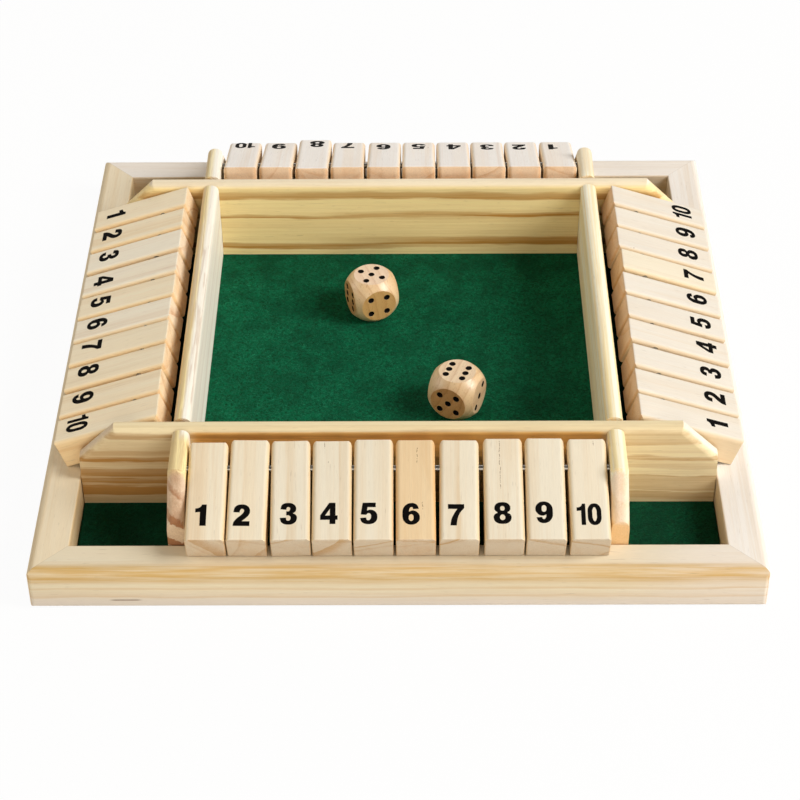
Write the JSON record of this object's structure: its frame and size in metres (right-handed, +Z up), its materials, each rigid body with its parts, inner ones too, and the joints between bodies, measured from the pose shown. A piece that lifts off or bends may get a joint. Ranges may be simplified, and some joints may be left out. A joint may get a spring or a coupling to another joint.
{
  "type": "shut the box game",
  "caption": "Square wooden dice game: a felt-lined tray with a lapped frame of boards, numbered tiles hinged on steel rods along all sides, and two dice.",
  "frame": {"origin": "centre of the tray's underside, on the surface that it stands on", "axes": "+Z up; the front row of tiles, numbered 1 to 10 from left to right, is on -Y; +X to the right"},
  "size_m": [0.225, 0.225, 0.0359],
  "materials": {
    "rail_pine": "sanded, bare",
    "board_pine": "sanded, bare",
    "tile_pine": "sanded, bare",
    "die_beech": "waxed",
    "plywood": "sanded, bare",
    "green_felt": "matted wool felt",
    "rod_steel": "polished"
  },
  "bodies": {
    "root": {"base_panel": "plywood", "felt": "green_felt", "front_rail": "rail_pine", "right_rail": "rail_pine", "back_rail": "rail_pine", "left_rail": "rail_pine", "front_board": "board_pine", "right_board": "board_pine", "back_board": "board_pine", "left_board": "board_pine", "front_rod": "rod_steel", "right_rod": "rod_steel", "back_rod": "rod_steel", "left_rod": "rod_steel"},
    "front_tile_1": {"front_tile_1": "tile_pine"},
    "front_tile_2": {"front_tile_2": "tile_pine"},
    "front_tile_3": {"front_tile_3": "tile_pine"},
    "front_tile_4": {"front_tile_4": "tile_pine"},
    "front_tile_5": {"front_tile_5": "tile_pine"},
    "front_tile_6": {"front_tile_6": "tile_pine"},
    "front_tile_7": {"front_tile_7": "tile_pine"},
    "front_tile_8": {"front_tile_8": "tile_pine"},
    "front_tile_9": {"front_tile_9": "tile_pine"},
    "front_tile_10": {"front_tile_10": "tile_pine"},
    "right_tile_1": {"right_tile_1": "tile_pine"},
    "right_tile_2": {"right_tile_2": "tile_pine"},
    "right_tile_3": {"right_tile_3": "tile_pine"},
    "right_tile_4": {"right_tile_4": "tile_pine"},
    "right_tile_5": {"right_tile_5": "tile_pine"},
    "right_tile_6": {"right_tile_6": "tile_pine"},
    "right_tile_7": {"right_tile_7": "tile_pine"},
    "right_tile_8": {"right_tile_8": "tile_pine"},
    "right_tile_9": {"right_tile_9": "tile_pine"},
    "right_tile_10": {"right_tile_10": "tile_pine"},
    "back_tile_1": {"back_tile_1": "tile_pine"},
    "back_tile_2": {"back_tile_2": "tile_pine"},
    "back_tile_3": {"back_tile_3": "tile_pine"},
    "back_tile_4": {"back_tile_4": "tile_pine"},
    "back_tile_5": {"back_tile_5": "tile_pine"},
    "back_tile_6": {"back_tile_6": "tile_pine"},
    "back_tile_7": {"back_tile_7": "tile_pine"},
    "back_tile_8": {"back_tile_8": "tile_pine"},
    "back_tile_9": {"back_tile_9": "tile_pine"},
    "back_tile_10": {"back_tile_10": "tile_pine"},
    "left_tile_1": {"left_tile_1": "tile_pine"},
    "left_tile_2": {"left_tile_2": "tile_pine"},
    "left_tile_3": {"left_tile_3": "tile_pine"},
    "left_tile_4": {"left_tile_4": "tile_pine"},
    "left_tile_5": {"left_tile_5": "tile_pine"},
    "left_tile_6": {"left_tile_6": "tile_pine"},
    "left_tile_7": {"left_tile_7": "tile_pine"},
    "left_tile_8": {"left_tile_8": "tile_pine"},
    "left_tile_9": {"left_tile_9": "tile_pine"},
    "left_tile_10": {"left_tile_10": "tile_pine"},
    "die_1": {"die_1": "die_beech"},
    "die_2": {"die_2": "die_beech"}
  },
  "joints": [
    {"name": "front_tile_1_hinge", "type": "hinge", "parent": "root", "child": "front_tile_1", "pos_m": [0, -0.08368, 0.0311], "axis": [-1, 0, 0], "range_deg": [0, 150.6]},
    {"name": "front_tile_2_hinge", "type": "hinge", "parent": "root", "child": "front_tile_2", "pos_m": [0, -0.08368, 0.0311], "axis": [-1, 0, 0], "range_deg": [0, 175.1]},
    {"name": "front_tile_3_hinge", "type": "hinge", "parent": "root", "child": "front_tile_3", "pos_m": [0, -0.08368, 0.0311], "axis": [-1, 0, 0], "range_deg": [0, 175.1]},
    {"name": "front_tile_4_hinge", "type": "hinge", "parent": "root", "child": "front_tile_4", "pos_m": [0, -0.08368, 0.0311], "axis": [-1, 0, 0], "range_deg": [0, 175.1]},
    {"name": "front_tile_5_hinge", "type": "hinge", "parent": "root", "child": "front_tile_5", "pos_m": [0, -0.08368, 0.0311], "axis": [-1, 0, 0], "range_deg": [0, 175.1]},
    {"name": "front_tile_6_hinge", "type": "hinge", "parent": "root", "child": "front_tile_6", "pos_m": [0, -0.08368, 0.0311], "axis": [-1, 0, 0], "range_deg": [0, 175.1]},
    {"name": "front_tile_7_hinge", "type": "hinge", "parent": "root", "child": "front_tile_7", "pos_m": [0, -0.08368, 0.0311], "axis": [-1, 0, 0], "range_deg": [0, 175.1]},
    {"name": "front_tile_8_hinge", "type": "hinge", "parent": "root", "child": "front_tile_8", "pos_m": [0, -0.08368, 0.0311], "axis": [-1, 0, 0], "range_deg": [0, 175.1]},
    {"name": "front_tile_9_hinge", "type": "hinge", "parent": "root", "child": "front_tile_9", "pos_m": [0, -0.08368, 0.0311], "axis": [-1, 0, 0], "range_deg": [0, 175.1]},
    {"name": "front_tile_10_hinge", "type": "hinge", "parent": "root", "child": "front_tile_10", "pos_m": [0, -0.08368, 0.0311], "axis": [-1, 0, 0], "range_deg": [0, 175.1]},
    {"name": "right_tile_1_hinge", "type": "hinge", "parent": "root", "child": "right_tile_1", "pos_m": [0.08368, 0, 0.0311], "axis": [0, -1, 0], "range_deg": [0, 150.6]},
    {"name": "right_tile_2_hinge", "type": "hinge", "parent": "root", "child": "right_tile_2", "pos_m": [0.08368, 0, 0.0311], "axis": [0, -1, 0], "range_deg": [0, 175.1]},
    {"name": "right_tile_3_hinge", "type": "hinge", "parent": "root", "child": "right_tile_3", "pos_m": [0.08368, 0, 0.0311], "axis": [0, -1, 0], "range_deg": [0, 175.1]},
    {"name": "right_tile_4_hinge", "type": "hinge", "parent": "root", "child": "right_tile_4", "pos_m": [0.08368, 0, 0.0311], "axis": [0, -1, 0], "range_deg": [0, 175.1]},
    {"name": "right_tile_5_hinge", "type": "hinge", "parent": "root", "child": "right_tile_5", "pos_m": [0.08368, 0, 0.0311], "axis": [0, -1, 0], "range_deg": [0, 175.1]},
    {"name": "right_tile_6_hinge", "type": "hinge", "parent": "root", "child": "right_tile_6", "pos_m": [0.08368, 0, 0.0311], "axis": [0, -1, 0], "range_deg": [0, 175.1]},
    {"name": "right_tile_7_hinge", "type": "hinge", "parent": "root", "child": "right_tile_7", "pos_m": [0.08368, 0, 0.0311], "axis": [0, -1, 0], "range_deg": [0, 175.1]},
    {"name": "right_tile_8_hinge", "type": "hinge", "parent": "root", "child": "right_tile_8", "pos_m": [0.08368, 0, 0.0311], "axis": [0, -1, 0], "range_deg": [0, 175.1]},
    {"name": "right_tile_9_hinge", "type": "hinge", "parent": "root", "child": "right_tile_9", "pos_m": [0.08368, 0, 0.0311], "axis": [0, -1, 0], "range_deg": [0, 175.1]},
    {"name": "right_tile_10_hinge", "type": "hinge", "parent": "root", "child": "right_tile_10", "pos_m": [0.08368, 0, 0.0311], "axis": [0, -1, 0], "range_deg": [0, 175.1]},
    {"name": "back_tile_1_hinge", "type": "hinge", "parent": "root", "child": "back_tile_1", "pos_m": [0, 0.08368, 0.0311], "axis": [1, 0, 0], "range_deg": [0, 150.6]},
    {"name": "back_tile_2_hinge", "type": "hinge", "parent": "root", "child": "back_tile_2", "pos_m": [0, 0.08368, 0.0311], "axis": [1, 0, 0], "range_deg": [0, 175.1]},
    {"name": "back_tile_3_hinge", "type": "hinge", "parent": "root", "child": "back_tile_3", "pos_m": [0, 0.08368, 0.0311], "axis": [1, 0, 0], "range_deg": [0, 175.1]},
    {"name": "back_tile_4_hinge", "type": "hinge", "parent": "root", "child": "back_tile_4", "pos_m": [0, 0.08368, 0.0311], "axis": [1, 0, 0], "range_deg": [0, 175.1]},
    {"name": "back_tile_5_hinge", "type": "hinge", "parent": "root", "child": "back_tile_5", "pos_m": [0, 0.08368, 0.0311], "axis": [1, 0, 0], "range_deg": [0, 175.1]},
    {"name": "back_tile_6_hinge", "type": "hinge", "parent": "root", "child": "back_tile_6", "pos_m": [0, 0.08368, 0.0311], "axis": [1, 0, 0], "range_deg": [0, 175.1]},
    {"name": "back_tile_7_hinge", "type": "hinge", "parent": "root", "child": "back_tile_7", "pos_m": [0, 0.08368, 0.0311], "axis": [1, 0, 0], "range_deg": [0, 175.1]},
    {"name": "back_tile_8_hinge", "type": "hinge", "parent": "root", "child": "back_tile_8", "pos_m": [0, 0.08368, 0.0311], "axis": [1, 0, 0], "range_deg": [0, 172.6]},
    {"name": "back_tile_9_hinge", "type": "hinge", "parent": "root", "child": "back_tile_9", "pos_m": [0, 0.08368, 0.0311], "axis": [1, 0, 0], "range_deg": [0, 175.1]},
    {"name": "back_tile_10_hinge", "type": "hinge", "parent": "root", "child": "back_tile_10", "pos_m": [0, 0.08368, 0.0311], "axis": [1, 0, 0], "range_deg": [0, 175.1]},
    {"name": "left_tile_1_hinge", "type": "hinge", "parent": "root", "child": "left_tile_1", "pos_m": [-0.08368, 0, 0.0311], "axis": [0, 1, 0], "range_deg": [0, 150.6]},
    {"name": "left_tile_2_hinge", "type": "hinge", "parent": "root", "child": "left_tile_2", "pos_m": [-0.08368, 0, 0.0311], "axis": [0, 1, 0], "range_deg": [0, 175.1]},
    {"name": "left_tile_3_hinge", "type": "hinge", "parent": "root", "child": "left_tile_3", "pos_m": [-0.08368, 0, 0.0311], "axis": [0, 1, 0], "range_deg": [0, 175.1]},
    {"name": "left_tile_4_hinge", "type": "hinge", "parent": "root", "child": "left_tile_4", "pos_m": [-0.08368, 0, 0.0311], "axis": [0, 1, 0], "range_deg": [0, 175.1]},
    {"name": "left_tile_5_hinge", "type": "hinge", "parent": "root", "child": "left_tile_5", "pos_m": [-0.08368, 0, 0.0311], "axis": [0, 1, 0], "range_deg": [0, 175.1]},
    {"name": "left_tile_6_hinge", "type": "hinge", "parent": "root", "child": "left_tile_6", "pos_m": [-0.08368, 0, 0.0311], "axis": [0, 1, 0], "range_deg": [0, 175.1]},
    {"name": "left_tile_7_hinge", "type": "hinge", "parent": "root", "child": "left_tile_7", "pos_m": [-0.08368, 0, 0.0311], "axis": [0, 1, 0], "range_deg": [0, 175.1]},
    {"name": "left_tile_8_hinge", "type": "hinge", "parent": "root", "child": "left_tile_8", "pos_m": [-0.08368, 0, 0.0311], "axis": [0, 1, 0], "range_deg": [0, 175.1]},
    {"name": "left_tile_9_hinge", "type": "hinge", "parent": "root", "child": "left_tile_9", "pos_m": [-0.08368, 0, 0.0311], "axis": [0, 1, 0], "range_deg": [0, 175.1]},
    {"name": "left_tile_10_hinge", "type": "hinge", "parent": "root", "child": "left_tile_10", "pos_m": [-0.08368, 0, 0.0311], "axis": [0, 1, 0], "range_deg": [0, 175.1]},
    {"name": "die_1_lift", "type": "slide", "parent": "root", "child": "die_1", "axis": [0, 0, 1], "range_m": [0, 0.06]},
    {"name": "die_2_lift", "type": "slide", "parent": "root", "child": "die_2", "axis": [0, 0, 1], "range_m": [0, 0.06]}
  ]
}
